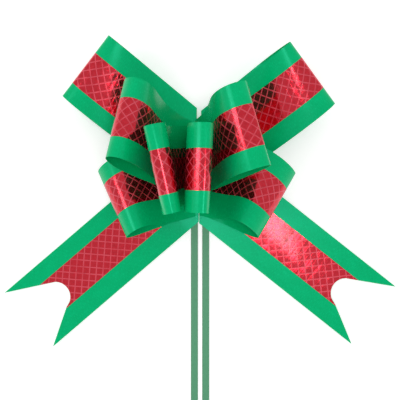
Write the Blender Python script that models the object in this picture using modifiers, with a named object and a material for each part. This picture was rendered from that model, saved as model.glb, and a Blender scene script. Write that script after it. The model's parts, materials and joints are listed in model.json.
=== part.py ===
"""Butterfly pull bow for gift wrapping, lying on its back.

Two satin ribbons, one on each side, run in loops from a swallow-tailed end at the back to
a small loop at the front.  They are heat sealed to each other at five places along the
gather axis, and each carries a foil band on its outer face.  Two flat pull strings are
sealed in at the front, run back between the ribbons and leave at the back.

Frame: metres, the gather axis meets the resting plane at the origin, +Z is the front of
the bow, +Y is its top edge and +X its right side.
"""
import math
from collections import namedtuple

import bmesh
import bpy
from mathutils import Vector

MM = 0.001

# Ribbon and foil
RIBBON_WIDTH = 50 * MM
RIBBON_THICKNESS = 0.4 * MM
FOIL_THICKNESS = 0.15 * MM
CLEARANCE = 0.3 * MM
FOIL_LIFT = RIBBON_THICKNESS / 2 + CLEARANCE + FOIL_THICKNESS / 2
LOOP_STEPS = 36
CREASE_REACH = 0.8 * MM        # a loop's two ends stop this far short of its crease
CREASE_OPENING = 0.5 * MM      # and stand this far to each side of it

# Gather: where each level's two creases lie, and how far apart they are
TAIL_HEIGHT = 0.7 * MM
LEVEL_HEIGHT = {"tail": TAIL_HEIGHT, "back": 3.0 * MM, "lower": 6.0 * MM, "upper": 10.0 * MM,
                "centre": 15.0 * MM}
LEVEL_LEAN = {"tail": 0.0, "back": 0.0, "lower": -1.0 * MM, "upper": -3.5 * MM,
              "centre": -5.0 * MM}
CREASE_OFFSET = {"tail": 1.3 * MM, "back": 1.3 * MM, "lower": 1.2 * MM, "upper": 1.3 * MM,
                 "centre": 1.8 * MM}

# A loop leaves its crease along a heading (degrees about Z from +X) and rises (degrees
# above the resting plane); roll turns its width about that line.  reach is crease to
# nose.  front and back are how far its two sides stand from its middle line at their
# crests, each crest being a share of the reach, and bend is how far the middle line
# curves up.  The foil runs between two lines measured up from the middle.
Loop = namedtuple("Loop", "side level crease_y heading rise roll reach front back "
                  "front_crest back_crest bend foil")
LOOPS = (
    Loop("left", "back", 13.0 * MM, 140.3, 0.8, 7.9, 93.4 * MM, 8.2 * MM, 9.6 * MM,
         0.78, 0.82, 0.17, (-13.9 * MM, 10.8 * MM)),
    Loop("right", "back", 11.0 * MM, 38.9, 2.0, 11.2, 91.8 * MM, 8.8 * MM, 9.2 * MM,
         0.75, 0.82, 0.18, (-11.7 * MM, 12.7 * MM)),
    Loop("left", "lower", 0.8 * MM, 198.9, 21.8, -18.0, 60.3 * MM, 10.7 * MM, 2.5 * MM,
         0.82, 0.84, -0.1, (-9.3 * MM, 14.0 * MM)),
    Loop("right", "lower", 3.4 * MM, -22.1, 31.2, -19.1, 59.3 * MM, 13.0 * MM, 5.6 * MM,
         0.79, 0.8, -0.15, (-10.0 * MM, 12.3 * MM)),
    Loop("left", "upper", 9.3 * MM, 158.6, 34.9, -17.2, 69.0 * MM, 12.3 * MM, 6.7 * MM,
         0.79, 0.81, 0.22, (-12.4 * MM, 12.2 * MM)),
    Loop("right", "upper", 10.6 * MM, 22.8, 54.8, -8.8, 73.9 * MM, 12.8 * MM, 5.4 * MM,
         0.76, 0.8, 0.08, (-13.1 * MM, 11.4 * MM)),
    Loop("left", "centre", 6.4 * MM, 200.6, 68.3, 8.3, 67.2 * MM, 7.0 * MM, 4.6 * MM,
         0.87, 0.87, 0.13, (-14.1 * MM, 11.1 * MM)),
    Loop("right", "centre", 0.7 * MM, -10.5, 90.0, 7.9, 65.9 * MM, 8.8 * MM, 5.4 * MM,
         0.85, 0.85, -0.1, (-12.6 * MM, 10.8 * MM)),
)

# A tail lies flat.  Its tips are measured along its heading from the crease, on its upper
# and its lower edge.  The swallow-tail notch is an arc, centred at the notch distance on
# the middle line, with a straight cut to each tip.
Tail = namedtuple("Tail", "side crease_y heading upper_tip lower_tip notch foil")
TAILS = (
    Tail("left", -0.3 * MM, 220.6, 153.8 * MM, 152.5 * MM, 129.2 * MM, (-10.9 * MM, 13.2 * MM)),
    Tail("right", -2.4 * MM, -38.4, 151.9 * MM, 152.6 * MM, 127.8 * MM, (-11.2 * MM, 12.4 * MM)),
)
NOTCH_RADIUS = 10.5 * MM
NOTCH_ARC = (130, 262)
NOTCH_STEPS = 12

# Heat seals
SEAL_LENGTH = 10 * MM
SEAL_THICKNESS = 0.5 * MM
SEAL_HEIGHT = 2.2 * MM
BACK_SEAL_SIZE = (8 * MM, 10 * MM, 0.2 * MM)
UPRIGHT_SEALS = {"inner_seal_1": "back", "inner_seal_2": "lower", "inner_seal_3": "upper",
                 "front_seal": "centre"}

# Pull strings
STRING_WIDTH = 4.8 * MM
STRING_THICKNESS = 0.2 * MM
STRING_LIFT = 0.05 * MM
STRING_X = {"left": -3.15 * MM, "right": 4.65 * MM}
STRING_EXIT_Y = -5.5 * MM
STRING_TWIST_Y = (-158 * MM, -180 * MM)    # the string turns onto its edge between these
STRING_TWIST_STEPS = 8
CORE_Y = {"left": -10 * MM, "right": 10 * MM}

# String coils, wound on edge
COIL_Y = -190 * MM
COIL_OUTER_RADIUS = 29.5 * MM
COIL_INNER_RADIUS = 22 * MM
COIL_BASE = 0.65 * MM
COIL_STEPS = 48
MERGE_DISTANCE = 0.01 * MM
TIE_WIDTH = 4 * MM
TIE_THICKNESS = 0.3 * MM


def crease_point(side, level, crease_y):
    sign = -1 if side == "left" else 1
    return Vector((LEVEL_LEAN[level] + sign * CREASE_OFFSET[level], crease_y, LEVEL_HEIGHT[level]))


def loop_axes(loop):
    """Unit vectors along a loop, up its width, and out of its front."""
    heading, rise, roll = (math.radians(a) for a in (loop.heading, loop.rise, loop.roll))
    along = Vector((math.cos(rise) * math.cos(heading), math.cos(rise) * math.sin(heading),
                    math.sin(rise)))
    up = Vector((-math.sin(heading), math.cos(heading), 0))
    if up.y < 0:
        up = -up
    out = along.cross(up)
    if out.z < 0:
        out = -out
    return along, up * math.cos(roll) + out * math.sin(roll), out * math.cos(roll) - up * math.sin(roll)


def swelling(share, crest):
    """How far a side stands out: 0 at the crease, 1 at its crest, 0 at the round nose.
    The power gives both parts the same curvature where they meet."""
    if share > crest:
        return math.sqrt(1 - ((share - crest) / (1 - crest)) ** 2)
    return math.sin(math.pi / 2 * (share / crest) ** (2 * crest / math.pi / (1 - crest)))


def loop_surface(loop, turn, across):
    """A point of the ribbon's middle surface, from the crease: turn runs 0 to 2 pi, front
    side first, and across is the distance from the ribbon's middle line."""
    along, up, out = loop_axes(loop)
    share = (1 - math.cos(turn)) / 2
    if turn < math.pi:
        thick = loop.front * swelling(share, loop.front_crest)
    else:
        thick = -loop.back * swelling(share, loop.back_crest)
    thick += loop.bend * loop.reach * share ** 2 + CREASE_OPENING * math.cos(turn / 2)
    crease = Vector((0, 1 / up.y, 0))
    return along * (loop.reach * share) + out * thick + crease.lerp(up, share) * across


def loop_point(loop, turn, across, lift):
    """As loop_surface, but lifted off the outer face by a distance."""
    step = 1e-4
    at = loop_surface(loop, turn, across)
    along = loop_surface(loop, turn + step, across) - loop_surface(loop, turn - step, across)
    up = loop_surface(loop, turn, across + step) - loop_surface(loop, turn, across - step)
    normal = along.cross(up).normalized()
    if loop.side == "left":
        normal = -normal
    return at + normal * lift


def tail_outline(tail, low, high):
    """Corners of a band of a tail between two lines along it, in (along, up) distances."""
    mitre = abs(math.tan(math.radians(tail.heading)))
    arc = []
    for step in range(NOTCH_STEPS + 1):
        angle = math.radians(NOTCH_ARC[0] + (NOTCH_ARC[1] - NOTCH_ARC[0]) * step / NOTCH_STEPS)
        arc.append((tail.notch + NOTCH_RADIUS * math.cos(angle), NOTCH_RADIUS * math.sin(angle)))
    half = RIBBON_WIDTH / 2
    ends = [(tail.upper_tip, half)] + arc + [(tail.lower_tip, -half)]
    cut = clip_to_band(ends, low, high)
    return [(-mitre * low, low), (-mitre * high, high)] + cut


def clip_to_band(points, low, high):
    """The part of a line, running from the upper edge to the lower, that lies in a band."""
    kept = []
    for (a0, s0), (a1, s1) in zip(points, points[1:]):
        for limit in (high, low):
            if min(s0, s1) < limit < max(s0, s1):
                kept.append((a0 + (a1 - a0) * (limit - s0) / (s1 - s0), limit))
        if low <= s1 <= high:
            kept.append((a1, s1))
    if low <= points[0][1] <= high:
        kept.insert(0, points[0])
    return kept


def material(name, colour, roughness, metallic=0.0):
    made = bpy.data.materials.new(name)
    made.use_nodes = True
    shader = made.node_tree.nodes["Principled BSDF"]
    shader.inputs["Base Color"].default_value = (*colour, 1)
    shader.inputs["Roughness"].default_value = roughness
    shader.inputs["Metallic"].default_value = metallic
    return made


def add_object(name, data, collection, finish, parent=None):
    made = bpy.data.objects.new(name, data)
    collection.objects.link(made)
    data.materials.append(finish)
    made.parent = parent
    return made


def add_crease(name, at, collection):
    """An empty on the fold line that a ribbon section swings about."""
    empty = bpy.data.objects.new(name, None)
    empty.empty_display_size = 5 * MM
    empty.location = at
    collection.objects.link(empty)
    return empty


def thicken(made, thickness):
    split = made.modifiers.new("Split", "TRIANGULATE")
    split.quad_method = "FIXED"
    solid = made.modifiers.new("Thickness", "SOLIDIFY")
    solid.thickness = thickness
    solid.offset = 0
    solid.use_even_offset = True


def bent_sheet(name, rows, lines, place):
    """A flat grid whose points are put in place by a function of (row share, line)."""
    bm = bmesh.new()
    bmesh.ops.create_grid(bm, x_segments=rows, y_segments=len(lines) - 1, size=1)
    for vertex in bm.verts:
        share = (vertex.co.x + 1) / 2
        line = lines[round((vertex.co.y + 1) / 2 * (len(lines) - 1))]
        vertex.co = place(share, line)
    bmesh.ops.recalc_face_normals(bm, faces=bm.faces)
    mesh = bpy.data.meshes.new(name)
    bm.to_mesh(mesh)
    bm.free()
    mesh.shade_smooth()
    return mesh


def build_loop(loop, collection, ribbon_finish, foil_finish):
    name = f"{loop.side}_{loop.level}_loop"
    hinge = add_crease(name + "_crease", crease_point(loop.side, loop.level, loop.crease_y), collection)
    first = math.acos(1 - 2 * CREASE_REACH / loop.reach)

    def place(lift):
        return lambda share, line: loop_point(loop, first + share * 2 * (math.pi - first), line, lift)

    half = RIBBON_WIDTH / 2
    ribbon = bent_sheet(name, LOOP_STEPS, (-half, *loop.foil, half), place(0))
    thicken(add_object(name, ribbon, collection, ribbon_finish, hinge), RIBBON_THICKNESS)
    foil = bent_sheet(name + "_foil", LOOP_STEPS, loop.foil, place(FOIL_LIFT))
    thicken(add_object(name + "_foil", foil, collection, foil_finish, hinge), FOIL_THICKNESS)


def flat_piece(name, outline, thickness, collection, finish, parent):
    """A flat outline given a thickness, centred on its own plane."""
    curve = bpy.data.curves.new(name, "CURVE")
    curve.dimensions = "2D"
    curve.fill_mode = "BOTH"
    curve.extrude = thickness / 2
    spline = curve.splines.new("POLY")
    spline.points.add(len(outline) - 1)
    for point, (x, y) in zip(spline.points, outline):
        point.co = (x, y, 0, 1)
    spline.use_cyclic_u = True
    return add_object(name, curve, collection, finish, parent)


def build_tail(tail, collection, ribbon_finish, foil_finish):
    name = f"{tail.side}_tail"
    hinge = add_crease(name + "_crease", crease_point(tail.side, "tail", tail.crease_y), collection)
    heading = math.radians(tail.heading)
    sign = -1 if tail.side == "left" else 1
    along = Vector((math.cos(heading), math.sin(heading)))
    up = Vector((-math.sin(heading), math.cos(heading))) * sign
    half = RIBBON_WIDTH / 2
    bands = ((name, (-half, half), RIBBON_THICKNESS, 0, ribbon_finish),
             (name + "_foil", tail.foil, FOIL_THICKNESS, FOIL_LIFT, foil_finish))
    for part, (low, high), thickness, lift, finish in bands:
        outline = [tuple(along * a + up * s) for a, s in tail_outline(tail, low, high)]
        flat_piece(part, outline, thickness, collection, finish, hinge).location.z = lift


def box(name, size, centre, collection, finish):
    bm = bmesh.new()
    bmesh.ops.create_cube(bm, size=1)
    bmesh.ops.scale(bm, vec=size, verts=bm.verts)
    mesh = bpy.data.meshes.new(name)
    bm.to_mesh(mesh)
    bm.free()
    add_object(name, mesh, collection, finish).location = centre


def build_seals(collection, finish):
    """The back seal lies flat under the tails; the others stand between the two ribbons."""
    box("back_seal", BACK_SEAL_SIZE, (0, 0, BACK_SEAL_SIZE[2] / 2), collection, finish)
    size = (SEAL_THICKNESS, SEAL_LENGTH, SEAL_HEIGHT)
    for name, level in UPRIGHT_SEALS.items():
        box(name, size, (LEVEL_LEAN[level], 0, LEVEL_HEIGHT[level]), collection, finish)


def build_string_core(side, collection, finish):
    """The stretch of a pull string between the two ribbons, from the front seal back."""
    route = [(LEVEL_LEAN[level], LEVEL_HEIGHT[level]) for level in LEVEL_HEIGHT]
    half = STRING_WIDTH / 2

    def place(share, line):
        x, z = route[round(share * (len(route) - 1))]
        return Vector((x, CORE_Y[side] + line, z))

    core = bent_sheet(f"{side}_string_core", len(route) - 1, (-half, half), place)
    thicken(add_object(core.name, core, collection, finish), STRING_THICKNESS)


def build_string_run(side, collection, finish):
    """The free string: flat on the resting plane, then turned onto its edge at its coil."""
    start, end = STRING_TWIST_Y
    stations = [(STRING_EXIT_Y, 0), (start, 0)]
    shares = [step / STRING_TWIST_STEPS for step in range(1, STRING_TWIST_STEPS + 1)]
    stations += [(start + (end - start) * share, share) for share in shares]
    sign = -1 if side == "left" else 1
    half = STRING_WIDTH / 2

    def place(share, line):
        y, twist = stations[round(share * (len(stations) - 1))]
        angle = twist * math.pi / 2
        middle = STRING_THICKNESS / 2 + STRING_LIFT + COIL_BASE * twist + half * math.sin(angle)
        return Vector((STRING_X[side] + sign * line * math.cos(angle), y,
                       middle + line * math.sin(angle)))

    run = bent_sheet(f"{side}_string", len(stations) - 1, (-half, half), place)
    thicken(add_object(run.name, run, collection, finish), STRING_THICKNESS)


def coil_centre_x(side):
    sign = -1 if side == "left" else 1
    return STRING_X[side] + sign * (COIL_OUTER_RADIUS + STRING_THICKNESS / 2)


def build_coil(side, collection, string_finish, tie_finish):
    """A ring the size of the wound string, and the tie that holds its turns."""
    height = STRING_WIDTH
    profile = bpy.data.meshes.new(f"{side}_string_coil")
    corners = ((COIL_INNER_RADIUS, height), (COIL_OUTER_RADIUS, height), (COIL_OUTER_RADIUS, 0),
               (COIL_INNER_RADIUS, 0))
    profile.from_pydata([(x, 0, z) for x, z in corners], [(i, (i + 1) % 4) for i in range(4)], [])
    coil = add_object(profile.name, profile, collection, string_finish)
    coil.location = (coil_centre_x(side), COIL_Y, COIL_BASE)
    turned = coil.modifiers.new("Turned", "SCREW")
    turned.steps = turned.render_steps = COIL_STEPS
    turned.use_merge_vertices = True
    turned.merge_threshold = MERGE_DISTANCE

    inner = (COIL_OUTER_RADIUS - COIL_INNER_RADIUS + 2 * CLEARANCE, TIE_WIDTH, height + 2 * CLEARANCE)
    outer = (inner[0] + 2 * TIE_THICKNESS, TIE_WIDTH, inner[2] + 2 * TIE_THICKNESS)
    bm = bmesh.new()
    rings = []
    for size in (outer, inner):
        corners = ((-1, -1), (1, -1), (1, 1), (-1, 1))
        rings.append([bm.verts.new((size[0] / 2 * x, -TIE_WIDTH / 2, size[2] / 2 * z))
                      for x, z in corners])
    for i in range(4):
        j = (i + 1) % 4
        bm.faces.new((rings[0][i], rings[0][j], rings[1][j], rings[1][i]))
    grown = bmesh.ops.extrude_face_region(bm, geom=bm.faces[:])
    bmesh.ops.translate(bm, vec=(0, TIE_WIDTH, 0),
                        verts=[v for v in grown["geom"] if isinstance(v, bmesh.types.BMVert)])
    bmesh.ops.recalc_face_normals(bm, faces=bm.faces)
    mesh = bpy.data.meshes.new(f"{side}_coil_tie")
    bm.to_mesh(mesh)
    bm.free()
    tie = add_object(mesh.name, mesh, collection, tie_finish)
    middle = (COIL_OUTER_RADIUS + COIL_INNER_RADIUS) / 2
    sign = -1 if side == "left" else 1
    tie.location = (coil_centre_x(side) + sign * middle, COIL_Y, COIL_BASE + height / 2)


def main():
    for old in list(bpy.data.objects):
        bpy.data.objects.remove(old, do_unlink=True)
    collection = bpy.data.collections.new("gift_bow")
    bpy.context.scene.collection.children.link(collection)
    satin = material("satin_ribbon", (0.0, 0.4, 0.15), 0.35)
    foil = material("red_foil", (0.7, 0.03, 0.06), 0.15, 1.0)
    string = material("string_ribbon", (0.1, 0.43, 0.22), 0.4)
    seal = material("fused_ribbon", (0.0, 0.25, 0.09), 0.3)
    tie = material("paper_tie", (0.02, 0.3, 0.12), 0.6)
    for tail in TAILS:
        build_tail(tail, collection, satin, foil)
    for loop in LOOPS:
        build_loop(loop, collection, satin, foil)
    build_seals(collection, seal)
    for side in ("left", "right"):
        build_string_core(side, collection, string)
        build_string_run(side, collection, string)
        build_coil(side, collection, string, tie)


main()
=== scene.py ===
"""Looks of the butterfly pull bow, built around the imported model."""
import json
import math
from collections import namedtuple

import bpy
import numpy as np
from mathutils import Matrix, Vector


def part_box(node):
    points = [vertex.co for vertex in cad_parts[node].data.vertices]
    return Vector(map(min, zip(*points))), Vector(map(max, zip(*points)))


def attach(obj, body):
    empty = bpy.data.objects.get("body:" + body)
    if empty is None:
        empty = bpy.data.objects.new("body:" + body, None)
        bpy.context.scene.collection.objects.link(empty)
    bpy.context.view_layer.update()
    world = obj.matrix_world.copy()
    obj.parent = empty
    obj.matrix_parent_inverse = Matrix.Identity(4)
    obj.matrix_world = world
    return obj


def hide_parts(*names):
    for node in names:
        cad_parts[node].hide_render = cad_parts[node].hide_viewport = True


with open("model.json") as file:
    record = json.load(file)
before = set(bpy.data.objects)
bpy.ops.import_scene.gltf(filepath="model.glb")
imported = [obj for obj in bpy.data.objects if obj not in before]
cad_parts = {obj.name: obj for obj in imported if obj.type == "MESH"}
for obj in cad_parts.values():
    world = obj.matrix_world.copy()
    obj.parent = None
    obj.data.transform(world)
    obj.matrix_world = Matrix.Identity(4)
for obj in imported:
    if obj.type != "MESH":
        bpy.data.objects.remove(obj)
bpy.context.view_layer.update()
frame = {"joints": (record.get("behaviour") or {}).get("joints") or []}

MM = 0.001
PER_CM = 100                   # strips are marked out in centimetres for their materials
SIDES = ("left", "right")
LEVELS = ("back", "lower", "upper", "centre")

# Ribbon, foil and string
RIBBON_WIDTH = 50 * MM
RIBBON_THICKNESS = 0.14 * MM
FOIL_THICKNESS = 0.03 * MM
FOIL_GAP = 0.02 * MM
FOIL_LIFT = RIBBON_THICKNESS / 2 + FOIL_GAP + FOIL_THICKNESS / 2
STRING_WIDTH = 4.8 * MM
STRING_THICKNESS = 0.16 * MM
STRING_LENGTH = 700 * MM
SHARP_EDGE = math.radians(50)

JOINTS = {joint["name"]: joint for joint in frame["joints"]}


def hinge_point(body):
    """The point of the crease that a loop or a tail folds about."""
    return Vector(JOINTS[body + "_fold"]["pos_m"])


# ---------------------------------------------------------------- camera

CAMERA_PLACE = (0.7 * MM, -17.3 * MM, 385 * MM)


def make_camera():
    """Straight above the bow, looking down at its front."""
    data = bpy.data.cameras.new("camera")
    data.lens = 50
    data.sensor_width = 36
    camera = bpy.data.objects.new("camera", data)
    camera.location = CAMERA_PLACE
    bpy.context.scene.collection.objects.link(camera)
    bpy.context.scene.camera = camera


make_camera()


# ---------------------------------------------------------------- mesh helpers

def strip_mesh(name, points, marks):
    """A sheet through a grid of points, with UVs in centimetres along and across it."""
    rows, columns = len(points), len(points[0])
    mesh = bpy.data.meshes.new(name)
    faces = [(r * columns + c, r * columns + c + 1, (r + 1) * columns + c + 1, (r + 1) * columns + c)
             for r in range(rows - 1) for c in range(columns - 1)]
    mesh.from_pydata([p for row in points for p in row], [], faces)
    layer = mesh.uv_layers.new(name="strip")
    flat = [mark for row in marks for mark in row]
    for loop in mesh.loops:
        along, across = flat[loop.vertex_index]
        layer.data[loop.index].uv = (along * PER_CM, across * PER_CM)
    mesh.shade_smooth()
    return mesh


def add_piece(name, data, finish, body, slot, *nodes):
    """A visible piece that rides on a body and stands for some of its CAD nodes."""
    piece = bpy.data.objects.new(name, data)
    bpy.context.scene.collection.objects.link(piece)
    data.materials.append(finish)
    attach(piece, body)
    if nodes:
        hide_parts(*nodes)
    return piece


def thicken(piece, thickness):
    """Gives a sheet its thickness, with crisp cut edges."""
    solid = piece.modifiers.new("Thickness", "SOLIDIFY")
    solid.thickness = thickness
    solid.offset = 0
    graph = bpy.context.evaluated_depsgraph_get()
    thin = piece.data
    piece.data = bpy.data.meshes.new_from_object(piece.evaluated_get(graph))
    piece.modifiers.remove(solid)
    bpy.data.meshes.remove(thin)
    piece.data.set_sharp_from_angle(angle=SHARP_EDGE)


# ---------------------------------------------------------------- pull strings

STRING_LIFT = 0.12 * MM
STRING_TWIST_Y = (-158 * MM, -180 * MM)
STRING_X = {"left": -3.15 * MM, "right": 4.65 * MM}
STRING_EXIT_Y = -5.5 * MM
COIL_Y = -190 * MM
COIL_OUTER_RADIUS = 29.3 * MM
COIL_PITCH = 2.1 * MM
COIL_BASE = 0.65 * MM
COIL_STEP = math.radians(6)
RUN_STEPS = 30
TWIST_STEPS = 12
STRING_COLUMNS = 4

# A tie's section is a rectangle with rounded corners
TIE_THICKNESS = 0.22 * MM
TIE_SQUARENESS = 0.45          # 1 would make it an ellipse, 0 a sharp rectangle
TIE_LENGTH = 30 * MM
TIE_STEPS = 48
TIE_COLUMNS = 4


def string_route(side):
    """A string's stations from its exit: flat, turned on edge, then coiled.  Each is its
    centre and the direction of its width."""
    sign = -1 if side == "left" else 1
    x = STRING_X[side]
    flat_z = STRING_LIFT + STRING_THICKNESS / 2
    edge_z = COIL_BASE + STRING_WIDTH / 2
    start, end = STRING_TWIST_Y
    stations = []
    for step in range(RUN_STEPS + 1):
        y = STRING_EXIT_Y + (start - STRING_EXIT_Y) * step / RUN_STEPS
        stations.append((Vector((x, y, flat_z)), Vector((1, 0, 0))))
    for step in range(1, TWIST_STEPS + 1):
        share = step / TWIST_STEPS
        turn = share * share * (3 - 2 * share)
        angle = turn * math.pi / 2
        centre = Vector((x, start + (end - start) * share, flat_z + (edge_z - flat_z) * turn))
        stations.append((centre, Vector((math.cos(angle), 0, sign * math.sin(angle)))))
    coil_x = x + sign * COIL_OUTER_RADIUS
    length = STRING_EXIT_Y - COIL_Y
    angle = 0.0
    upright = Vector((0, 0, sign))
    while True:
        radius = COIL_OUTER_RADIUS - COIL_PITCH * angle / (2 * math.pi)
        at = Vector((coil_x - sign * radius * math.cos(angle), COIL_Y - radius * math.sin(angle), edge_z))
        stations.append((at, upright))
        if length >= STRING_LENGTH:
            return stations
        angle += COIL_STEP
        length += radius * COIL_STEP


def make_string(side, finish, tie_finish):
    stations = string_route(side)
    half = STRING_WIDTH / 2
    lines = [half * (2 * c / STRING_COLUMNS - 1) for c in range(STRING_COLUMNS + 1)]
    points, marks, run = [], [], 0.0
    for number, (centre, across) in enumerate(stations):
        if number:
            run += (centre - stations[number - 1][0]).length
        points.append([centre + across * line for line in lines])
        marks.append([(run, line) for line in lines])
    name = f"{side}_pull_string"
    string = add_piece(name, strip_mesh(name, points, marks), finish, f"{side}_string", "string",
                       f"{side}_string", f"{side}_string_coil")
    thicken(string, STRING_THICKNESS)
    tie = make_tie(side, tie_finish)


def make_tie(side, finish):
    """A flat band closed round the coil, on the side away from the other coil."""
    low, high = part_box(f"{side}_coil_tie")
    middle, size = (low + high) / 2, (high - low)
    columns = [column / TIE_COLUMNS for column in range(TIE_COLUMNS + 1)]
    points, marks = [], []
    for step in range(TIE_STEPS + 1):
        share = step / TIE_STEPS
        c, s = math.cos(2 * math.pi * share), math.sin(2 * math.pi * share)
        x = (size.x / 2 - TIE_THICKNESS) * math.copysign(abs(c) ** TIE_SQUARENESS, c)
        z = (size.z / 2 - TIE_THICKNESS) * math.copysign(abs(s) ** TIE_SQUARENESS, s)
        points.append([middle + Vector((x, size.y * (column - 0.5), z)) for column in columns])
        marks.append([(share * TIE_LENGTH, size.y * column) for column in columns])
    name = f"{side}_string_tie"
    tie = add_piece(name, strip_mesh(name, points, marks), finish, f"{side}_string", "tie",
                    f"{side}_coil_tie")
    thicken(tie, TIE_THICKNESS)
    return tie


# ---------------------------------------------------------------- ribbon loops

CREASE_OPENING = 0.5 * MM      # a loop's two ends stand this far to each side of its crease
CREASE_REACH = 0.3 * MM        # and stop this far short of it
WAVE = 0.35 * MM
CURL = 0.9 * MM
LOOP_ROWS = 180
RIBBON_LINES = 25
FOIL_LINES = 13

# A loop leaves its crease along a heading (degrees about Z from +X) and rises (degrees
# above the resting plane); roll turns its width about that line.  reach is crease to
# nose.  front and back are how far its two sides stand from its middle line at their
# crests, each crest being a share of the reach, and bend is how far the middle line
# curves up.  The foil runs between two lines measured up from the middle.  Lengths are
# in millimetres.
Loop = namedtuple("Loop", "heading rise roll reach front back front_crest back_crest bend foil")
LOOPS = {
    "left_back": Loop(140.3, 0.8, 7.9, 93.4, 8.2, 9.6, 0.78, 0.82, 0.17, (-13.9, 10.8)),
    "right_back": Loop(38.9, 2.0, 11.2, 91.8, 8.8, 9.2, 0.75, 0.82, 0.18, (-11.7, 12.7)),
    "left_lower": Loop(198.9, 21.8, -18.0, 60.3, 10.7, 2.5, 0.82, 0.84, -0.1, (-9.3, 14.0)),
    "right_lower": Loop(-22.1, 31.2, -19.1, 59.3, 13.0, 5.6, 0.79, 0.8, -0.15, (-10.0, 12.3)),
    "left_upper": Loop(158.6, 34.9, -17.2, 69.0, 12.3, 6.7, 0.79, 0.81, 0.22, (-12.4, 12.2)),
    "right_upper": Loop(22.8, 54.8, -8.8, 73.9, 12.8, 5.4, 0.76, 0.8, 0.08, (-13.1, 11.4)),
    "left_centre": Loop(200.6, 68.3, 8.3, 67.2, 7.0, 4.6, 0.87, 0.87, 0.13, (-14.1, 11.1)),
    "right_centre": Loop(-10.5, 90.0, 7.9, 65.9, 8.8, 5.4, 0.85, 0.85, -0.1, (-12.6, 10.8)),
}


def loop_axes(loop):
    """Unit vectors along a loop, up its width, and out of its front."""
    heading, rise, roll = (math.radians(a) for a in (loop.heading, loop.rise, loop.roll))
    along = np.array((math.cos(rise) * math.cos(heading), math.cos(rise) * math.sin(heading),
                      math.sin(rise)))
    up = np.array((-math.sin(heading), math.cos(heading), 0.0))
    up *= 1 if up[1] > 0 else -1
    out = np.cross(along, up)
    out *= 1 if out[2] > 0 else -1
    return along, up * math.cos(roll) + out * math.sin(roll), out * math.cos(roll) - up * math.sin(roll)


def swelling(share, crest):
    """How far a side stands out: 0 at the crease, 1 at its crest, 0 at the round nose.
    The power gives both parts the same curvature where they meet."""
    rising = np.sin(math.pi / 2 * (np.minimum(share, crest) / crest)
                    ** (2 * crest / math.pi / (1 - crest)))
    falling = np.sqrt(1 - (np.clip(share - crest, 0, None) / (1 - crest)) ** 2)
    return np.where(share > crest, falling, rising)


def loop_grid(name, turns, lines, lift=0.0):
    """Points of a loop's ribbon for each turn and line, lifted off its outer face.  Turns
    run from 0 to 2 pi, front side first."""
    loop = LOOPS[name]
    along, up, out = loop_axes(loop)
    reach = loop.reach * MM

    def surface(turn, line):
        share = (1 - np.cos(turn)) / 2
        thick = np.where(turn < math.pi, loop.front * MM * swelling(share, loop.front_crest),
                         -loop.back * MM * swelling(share, loop.back_crest))
        thick = thick + loop.bend * reach * share ** 2 + CREASE_OPENING * np.cos(turn / 2)
        thick = thick + ripple(name, turn, line)
        crease = np.array((0.0, 1 / up[1], 0.0))
        width = crease + (up - crease) * share[..., None]
        return (along * (reach * share)[..., None] + out * thick[..., None]
                + width * line[..., None])

    step = 1e-4
    turn, line = np.meshgrid(turns, lines, indexing="ij")
    turn = np.clip(turn, step, 2 * math.pi - step)
    points = surface(turn, line)
    run = surface(turn + step, line) - surface(turn - step, line)
    rise = surface(turn, line + step) - surface(turn, line - step)
    normal = np.cross(run, rise)
    normal /= np.linalg.norm(normal, axis=-1, keepdims=True)
    if name.startswith("left"):
        normal = -normal
    return points + normal * lift + np.array(hinge_point(name + "_loop"))


def ripple(name, turn, line):
    """The slight unevenness of a ribbon that has been folded flat and pulled up."""
    phase = 1.7 * list(LOOPS).index(name)
    free = np.sin(turn / 2) ** 2
    wave = np.sin(3 * turn + phase) * np.sin(line / RIBBON_WIDTH * 2.4 + phase)
    curl = (line / RIBBON_WIDTH) ** 2 * np.cos(2 * turn + phase)
    return free * (WAVE * wave + CURL * curl)


def running_length(points):
    """Distance along the middle column of a grid of points, from its first row."""
    middle = points[:, points.shape[1] // 2]
    steps = np.linalg.norm(np.diff(middle, axis=0), axis=1)
    return np.concatenate([[0], np.cumsum(steps)])


def grid_piece(name, points, lines, runs, finish, body, slot, thickness, *nodes):
    """A piece of ribbon through a grid of points, marked by its rows' runs and its lines."""
    marks = [[(run, line) for line in lines] for run in runs]
    rows = [[tuple(p) for p in row] for row in points]
    piece = add_piece(name, strip_mesh(name, rows, marks), finish, body, slot, *nodes)
    thicken(piece, thickness)
    return piece


def make_loop(name, satin, foil_finish):
    """One loop of ribbon and the foil band on its outer face."""
    loop = LOOPS[name]
    first = math.acos(1 - 2 * CREASE_REACH / (loop.reach * MM))
    turns = np.linspace(first, 2 * math.pi - first, LOOP_ROWS + 1)
    lines = np.linspace(-RIBBON_WIDTH / 2, RIBBON_WIDTH / 2, RIBBON_LINES)
    points = loop_grid(name, turns, lines)
    runs = running_length(points)
    body = f"{name}_loop"
    ribbon = grid_piece(f"{name}_ribbon", points, lines, runs, satin, body, "satin_ribbon",
                        RIBBON_THICKNESS, body)
    low, high = (edge * MM for edge in loop.foil)
    foil_lines = np.linspace(low, high, FOIL_LINES)
    foil_points = loop_grid(name, turns, foil_lines, FOIL_LIFT)
    foil = grid_piece(f"{name}_foil_band", foil_points, foil_lines, runs, foil_finish, body,
                      "red_foil", FOIL_THICKNESS, body + "_foil")


# ---------------------------------------------------------------- ribbon tails

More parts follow.
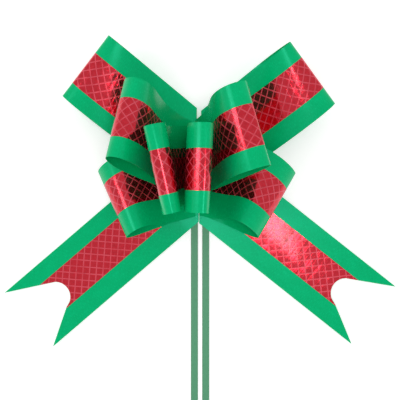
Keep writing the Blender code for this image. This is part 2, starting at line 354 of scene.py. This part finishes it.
# A tail lies flat.  Its tips are measured along its heading from the crease, on its upper
# and its lower edge.  The swallow-tail notch is an arc, centred at the notch distance on
# the middle line, with a straight cut to each tip.  Lengths are in millimetres.
Tail = namedtuple("Tail", "heading upper_tip lower_tip notch foil")
TAILS = {
    "left": Tail(220.6, 153.8, 152.5, 129.2, (-10.9, 13.2)),
    "right": Tail(-38.4, 151.9, 152.6, 127.8, (-11.2, 12.4)),
}
NOTCH_RADIUS = 10.5 * MM
NOTCH_ARC = tuple(math.radians(angle) for angle in (130, 262))
TAIL_ROOT = -1.5 * MM          # a tail reaches this far past its crease, to meet the other
TAIL_ROWS = 90
TAIL_RIBBON_LINES = 41
TAIL_FOIL_LINES = 29

# The gentle waves in a tail
TAIL_WAVE = 0.3 * MM
LONG_WAVE = 24 * MM
CROSS_WAVE = 9 * MM
SLANT = 50 * MM
SETTLING = 30 * MM             # the waves reach their full height this far from the crease


def tail_end(tail, line):
    """How far a tail runs from its crease at a line of its width: arc, then straight cuts."""
    centre = tail.notch * MM
    upper, lower = (NOTCH_RADIUS * math.sin(angle) for angle in NOTCH_ARC)
    if lower <= line <= upper:
        return centre - math.sqrt(max(NOTCH_RADIUS ** 2 - line ** 2, 0))
    corner, tip, angle = ((upper, tail.upper_tip, NOTCH_ARC[0]) if line > upper
                          else (lower, tail.lower_tip, NOTCH_ARC[1]))
    start = centre + NOTCH_RADIUS * math.cos(angle)
    edge = math.copysign(RIBBON_WIDTH / 2, line)
    return start + (tip * MM - start) * (line - corner) / (edge - corner)


def tail_grid(side, lines, lift):
    """Points of a tail, and how far along it each of them lies from the crease."""
    tail = TAILS[side]
    sign = -1 if side == "left" else 1
    heading = math.radians(tail.heading)
    along = np.array((math.cos(heading), math.sin(heading), 0.0))
    up = np.array((-math.sin(heading), math.cos(heading), 0.0)) * sign
    mitre = abs(math.tan(heading))
    grid, runs = [], []
    for row in range(TAIL_ROWS + 1):
        share = row / TAIL_ROWS
        starts = [-mitre * line + TAIL_ROOT for line in lines]
        runs.append([start + (tail_end(tail, line) - start) * share
                     for start, line in zip(starts, lines)])
        grid.append([along * run + up * line
                     + np.array((0, 0, tail_height(side, run, line) + lift))
                     for run, line in zip(runs[-1], lines)])
    return np.array(grid) + np.array(hinge_point(f"{side}_tail")), runs


def tail_height(side, run, line):
    """A tail's gentle rise and fall above its crease's height."""
    phase = 0.4 if side == "left" else 1.9
    free = min(max(run / SETTLING, 0), 1)
    wave = math.sin(run / LONG_WAVE + phase) + 0.6 * math.sin(line / CROSS_WAVE + run / SLANT)
    return free * TAIL_WAVE * (wave + 1.2)


def tail_lines(low, high, count):
    """Lines across a tail, with one on each end of the notch's arc."""
    marks = [NOTCH_RADIUS * math.sin(angle) for angle in NOTCH_ARC]
    lines = list(np.linspace(low, high, count))
    for mark in marks:
        if low < mark < high:
            nearest = min(range(1, len(lines) - 1), key=lambda i: abs(lines[i] - mark))
            lines[nearest] = mark
    return np.array(lines)


def tail_piece(name, side, edges, count, lift, finish, slot, thickness, node):
    """The part of a tail between two lines along it."""
    lines = tail_lines(*edges, count)
    points, runs = tail_grid(side, lines, lift)
    rows = [[tuple(p) for p in row] for row in points]
    marks = [list(zip(row, lines)) for row in runs]
    piece = add_piece(name, strip_mesh(name, rows, marks), finish, f"{side}_tail", slot, node)
    thicken(piece, thickness)
    return piece


def make_tail(side, satin, foil_finish):
    """One swallow-tailed end and the foil band on it."""
    tail = TAILS[side]
    name = f"{side}_tail"
    edges = (-RIBBON_WIDTH / 2, RIBBON_WIDTH / 2)
    ribbon = tail_piece(f"{name}_ribbon", side, edges, TAIL_RIBBON_LINES, 0, satin,
                        "satin_ribbon", RIBBON_THICKNESS, name)
    foil_edges = [edge * MM for edge in tail.foil]
    foil = tail_piece(f"{name}_foil_band", side, foil_edges, TAIL_FOIL_LINES, FOIL_LIFT,
                      foil_finish, "red_foil", FOIL_THICKNESS, f"{name}_foil")


# ---------------------------------------------------------------- gather

GATHER_INWARD = {"left": 0.7 * MM, "right": -0.45 * MM}    # from the creases to the strip
GATHER_LINES = 9


def make_gather(side, satin):
    """The short stretches of ribbon that pass from each level's crease to the next."""
    names = [f"{side}_tail"] + [f"{side}_{level}_loop" for level in LEVELS]
    creases = [hinge_point(name) for name in names]
    middle_y = sum(crease.y for crease in creases) / len(creases)
    lines = np.linspace(-RIBBON_WIDTH / 2, RIBBON_WIDTH / 2, GATHER_LINES)
    points = np.array([[(crease.x + GATHER_INWARD[side], middle_y + line, crease.z)
                        for line in lines] for crease in creases])
    runs = running_length(points)
    gather = grid_piece(f"{side}_gather", points, lines, runs, satin, "root", "satin_ribbon",
                        RIBBON_THICKNESS)


# ---------------------------------------------------------------- materials

# Colours, in linear red, green and blue
SATIN_LIGHT = (0.0, 0.49, 0.175)
SATIN_DARK = (0.0, 0.41, 0.135)
SATIN_SHEEN = (0.1, 1.0, 0.7)
FOIL_LIGHT = (0.70, 0.016, 0.036)
FOIL_DARK = (0.46, 0.006, 0.018)
FOIL_LINE = (0.68, 0.05, 0.085)
STRING_LIGHT = (0.11, 0.38, 0.21)
STRING_DARK = (0.05, 0.26, 0.12)
STRING_EDGE = (0.03, 0.22, 0.09)
SEAL_COLOUR = (0.0, 0.25, 0.09)
CORE_COLOUR = (0.1, 0.43, 0.22)
TIE_COLOUR = (0.02, 0.30, 0.12)
FLOOR_COLOUR = (0.93, 0.93, 0.93)
WHITE = (1, 1, 1)


def new_material(name):
    """A material, its node tree and its Principled shader."""
    made = bpy.data.materials.new(name)
    made.use_nodes = True
    return made, made.node_tree, made.node_tree.nodes["Principled BSDF"]


def add_node(tree, kind, settings=None, **inputs):
    """Adds a node; an input is a value or another node's output socket, and is given by
    its name or as an underscore and its number."""
    node = tree.nodes.new(kind)
    for key, value in (settings or {}).items():
        setattr(node, key, value)
    for key, value in inputs.items():
        socket = node.inputs[int(key[1:])] if key[0] == "_" else node.inputs[key.replace("_", " ")]
        if isinstance(value, bpy.types.NodeSocket):
            tree.links.new(value, socket)
        else:
            socket.default_value = value
    return node


def maths(tree, operation, a, b=0.0):
    return add_node(tree, "ShaderNodeMath", {"operation": operation}, _0=a, _1=b).outputs[0]


def strip_uv(tree):
    """Centimetres along and across a strip."""
    return add_node(tree, "ShaderNodeUVMap", {"uv_map": "strip"}).outputs[0]


def stretched_noise(tree, uv, scale, detail=3.0):
    """Noise over the strip, with its own scale along and across it, in cycles per cm."""
    scaled = add_node(tree, "ShaderNodeMapping", Vector=uv, Scale=(scale[0], scale[1], 1))
    noise = add_node(tree, "ShaderNodeTexNoise", {"noise_dimensions": "2D"},
                     Vector=scaled.outputs[0], Scale=1.0, Detail=detail)
    return noise.outputs["Fac"]


def spread(tree, value, low, high, to_low, to_high):
    """Maps one range of values onto another."""
    return add_node(tree, "ShaderNodeMapRange", None, Value=value, From_Min=low, From_Max=high,
                    To_Min=to_low, To_Max=to_high).outputs[0]


def blend_colours(tree, share, first, second):
    """Mixes two colours, each of them a value or an output socket."""
    mixed = add_node(tree, "ShaderNodeMix", {"data_type": "RGBA"}, Factor=share)
    for socket, value in ((mixed.inputs[6], first), (mixed.inputs[7], second)):
        if isinstance(value, bpy.types.NodeSocket):
            tree.links.new(value, socket)
        else:
            socket.default_value = (*value, 1)
    return mixed.outputs[2]


def satin_material(name, roughness):
    """Satin ribbon: fine threads across the strip and a soft mottle."""
    made, tree, shader = new_material(name)
    uv = strip_uv(tree)
    threads = stretched_noise(tree, uv, (28, 5))
    mottle = stretched_noise(tree, uv, (1.2, 1.2))
    share = maths(tree, "ADD", maths(tree, "MULTIPLY", threads, 0.75),
                  maths(tree, "MULTIPLY", mottle, 0.25))
    share = spread(tree, share, 0.35, 0.65, 0, 1)
    tree.links.new(blend_colours(tree, share, SATIN_DARK, SATIN_LIGHT), shader.inputs["Base Color"])
    tree.links.new(spread(tree, threads, 0.3, 0.7, roughness - 0.06, roughness + 0.08),
                   shader.inputs["Roughness"])
    bump = add_node(tree, "ShaderNodeBump", None, Height=threads, Strength=0.4,
                    Distance=0.02 * MM)
    tree.links.new(bump.outputs[0], shader.inputs["Normal"])
    shader.inputs["Specular IOR Level"].default_value = 0.55
    shader.inputs["Specular Tint"].default_value = (*SATIN_SHEEN, 1)
    return made


# The lattice pressed into the foil, in centimetres like the strips' marks
LATTICE_PITCH = 0.46
LATTICE_LINE = 0.07
LATTICE_SHIFT = 100            # whole cells, so that every place on a strip counts from above 0


def lattice(tree, uv):
    """Distance in cm from the nearer line of a diagonal lattice, and a tilt of each cell."""
    parts = add_node(tree, "ShaderNodeSeparateXYZ", Vector=uv)
    along, across = parts.outputs[0], parts.outputs[1]
    nearest, inside, cell = [], [], []
    for operation in ("ADD", "SUBTRACT"):
        slanted = maths(tree, "MULTIPLY", maths(tree, operation, along, across),
                        math.sqrt(0.5) / LATTICE_PITCH)
        slanted = maths(tree, "ADD", slanted, LATTICE_SHIFT)
        centred = maths(tree, "SUBTRACT", maths(tree, "FRACT", slanted), 0.5)
        from_line = maths(tree, "SUBTRACT", 0.5, maths(tree, "ABSOLUTE", centred))
        nearest.append(maths(tree, "MULTIPLY", from_line, LATTICE_PITCH))
        inside.append(centred)
        cell.append(maths(tree, "FLOOR", slanted))
    number = add_node(tree, "ShaderNodeCombineXYZ", X=cell[0], Y=cell[1])
    chance = add_node(tree, "ShaderNodeTexWhiteNoise", {"noise_dimensions": "2D"},
                      Vector=number.outputs[0])
    slopes = add_node(tree, "ShaderNodeSeparateColor", Color=chance.outputs["Color"])
    tilts = [maths(tree, "MULTIPLY", place, maths(tree, "SUBTRACT", slope, 0.5))
             for place, slope in zip(inside, (slopes.outputs[0], slopes.outputs[1]))]
    return maths(tree, "MINIMUM", *nearest), maths(tree, "ADD", *tilts)


# The foil's unevenness: heights as shares of its bump distance
FOIL_BUMP = 0.06 * MM
CELL_DOME = 0.35
CELL_TILT = 2.5
FINE_STREAK = 1.2
BROAD_STREAK = 4.0
CRINKLE = 0.3


def foil_material(name, unevenness):
    """Lacquered red foil with a diagonal lattice pressed into it.  Unevenness is how much
    of its full streaks and crinkles it shows."""
    made, tree, shader = new_material(name)
    uv = strip_uv(tree)
    distance, tilt = lattice(tree, uv)
    line = spread(tree, distance, LATTICE_LINE * 0.3, LATTICE_LINE * 0.7, 1, 0)
    pressed = spread(tree, stretched_noise(tree, uv, (1.1, 0.8)), 0.35, 0.6, 0.6, 1)
    line = maths(tree, "MULTIPLY", line, pressed)
    streaks = stretched_noise(tree, uv, (9, 0.7))
    broad = stretched_noise(tree, uv, (2.2, 0.35), 1.0)
    crinkle = stretched_noise(tree, uv, (5, 5), 4.0)
    cell = blend_colours(tree, crinkle, FOIL_DARK, FOIL_LIGHT)
    tree.links.new(blend_colours(tree, line, cell, FOIL_LINE), shader.inputs["Base Color"])
    tree.links.new(spread(tree, line, 0, 1, 0.11, 0.36), shader.inputs["Roughness"])
    dome = maths(tree, "POWER", spread(tree, distance, 0, LATTICE_PITCH / 2, 0, 1), 0.5)
    height = maths(tree, "MULTIPLY", dome, CELL_DOME)
    for part, share in ((tilt, CELL_TILT), (streaks, FINE_STREAK * unevenness),
                        (broad, BROAD_STREAK * unevenness), (crinkle, CRINKLE * unevenness)):
        height = maths(tree, "ADD", height, maths(tree, "MULTIPLY", part, share))
    bump = add_node(tree, "ShaderNodeBump", None, Height=height, Strength=1.0,
                    Distance=FOIL_BUMP)
    tree.links.new(bump.outputs[0], shader.inputs["Normal"])
    tree.links.new(spread(tree, line, 0, 1, 0.92, 0.25), shader.inputs["Metallic"])
    shader.inputs["Coat Weight"].default_value = 0.45
    shader.inputs["Coat Roughness"].default_value = 0.1
    return made


def string_material(name):
    """Narrow ribbon: fine ribs along it, darker at its two edges."""
    made, tree, shader = new_material(name)
    uv = strip_uv(tree)
    ribs = stretched_noise(tree, uv, (4, 40))
    parts = add_node(tree, "ShaderNodeSeparateXYZ", Vector=uv)
    from_middle = maths(tree, "ABSOLUTE", parts.outputs[1])
    edge = spread(tree, from_middle, 0.17, 0.24, 0, 0.8)
    body = blend_colours(tree, ribs, STRING_DARK, STRING_LIGHT)
    tree.links.new(blend_colours(tree, edge, body, STRING_EDGE), shader.inputs["Base Color"])
    tree.links.new(spread(tree, ribs, 0.3, 0.7, 0.36, 0.52), shader.inputs["Roughness"])
    bump = add_node(tree, "ShaderNodeBump", None, Height=ribs, Strength=0.6, Distance=0.03 * MM)
    tree.links.new(bump.outputs[0], shader.inputs["Normal"])
    return made


def seal_material(name, colour, roughness):
    """Fused or papery material, mottled in the object's own space."""
    made, tree, shader = new_material(name)
    at = add_node(tree, "ShaderNodeTexCoord").outputs["Object"]
    noise = add_node(tree, "ShaderNodeTexNoise", None, Vector=at, Scale=1800.0, Detail=4.0)
    dark = tuple(0.6 * c for c in colour)
    tree.links.new(blend_colours(tree, noise.outputs["Fac"], dark, colour),
                   shader.inputs["Base Color"])
    tree.links.new(spread(tree, noise.outputs["Fac"], 0.3, 0.7, roughness - 0.1, roughness + 0.1),
                   shader.inputs["Roughness"])
    bump = add_node(tree, "ShaderNodeBump", None, Height=noise.outputs["Fac"], Strength=0.5,
                    Distance=0.04 * MM)
    tree.links.new(bump.outputs[0], shader.inputs["Normal"])
    return made


# ---------------------------------------------------------------- floor and light

FLOOR_HALF = 12.0
FLOOR_HEIGHT = -0.3 * MM


def make_floor():
    corners = ((-1, -1), (1, -1), (1, 1), (-1, 1))
    mesh = bpy.data.meshes.new("floor")
    mesh.from_pydata([(x * FLOOR_HALF, y * FLOOR_HALF, FLOOR_HEIGHT) for x, y in corners], [],
                     [(0, 1, 2, 3)])
    floor = bpy.data.objects.new("floor", mesh)
    bpy.context.scene.collection.objects.link(floor)
    made, _, shader = new_material("pale_floor")
    shader.inputs["Base Color"].default_value = (*FLOOR_COLOUR, 1)
    shader.inputs["Roughness"].default_value = 0.9
    shader.inputs["Specular IOR Level"].default_value = 0.1
    shader.inputs["Emission Color"].default_value = (*WHITE, 1)
    shader.inputs["Emission Strength"].default_value = 0.32
    mesh.materials.append(made)


def add_softbox(name, place, size, power):
    """A rectangular lamp turned to face the bow."""
    data = bpy.data.lights.new(name, "AREA")
    data.shape = "RECTANGLE"
    data.size, data.size_y = size
    data.energy = power
    light = bpy.data.objects.new(name, data)
    light.location = place
    light.rotation_euler = (-Vector(place)).to_track_quat("-Z", "Y").to_euler()
    bpy.context.scene.collection.objects.link(light)


def make_light():
    """A soft white surround, a lamp above the bow and another to its left."""
    add_softbox("overhead_softbox", (0.12, -0.04, 1.1), (0.15, 0.3), 1.25)
    add_softbox("left_softbox", (-0.80, 0.14, 0.72), (0.18, 0.4), 1.0)
    world = bpy.data.worlds.new("studio")
    world.use_nodes = True
    background = world.node_tree.nodes["Background"]
    background.inputs["Color"].default_value = (*WHITE, 1)
    background.inputs["Strength"].default_value = 0.8
    bpy.context.scene.world = world
    bpy.context.scene.view_settings.view_transform = "Standard"


# ---------------------------------------------------------------- assembly

def finish_cad_nodes(names, finish):
    """CAD nodes that keep their own shape get a finished material."""
    for name in names:
        for slot in bpy.data.objects[name].material_slots:
            slot.material = finish


def main():
    """The strings come first, then the two ribbons from back to front, then the studio."""
    string = string_material("string_ribbon_look")
    tie = seal_material("paper_tie_look", TIE_COLOUR, 0.6)
    for side in SIDES:
        make_string(side, string, tie)
    satin = satin_material("satin_ribbon_look", 0.2)
    foil = foil_material("red_foil_look", 1.0)
    flat_foil = foil_material("flat_red_foil_look", 0.35)
    for side in SIDES:
        make_tail(side, satin, flat_foil)
        make_gather(side, satin)
    for name in LOOPS:
        make_loop(name, satin, foil)
    seal = seal_material("fused_ribbon_look", SEAL_COLOUR, 0.3)
    core = seal_material("string_core_look", CORE_COLOUR, 0.45)
    finish_cad_nodes(("back_seal", "inner_seal_1", "inner_seal_2", "inner_seal_3", "front_seal"), seal)
    finish_cad_nodes(("left_string_core", "right_string_core"), core)
    make_floor()
    make_light()


main()
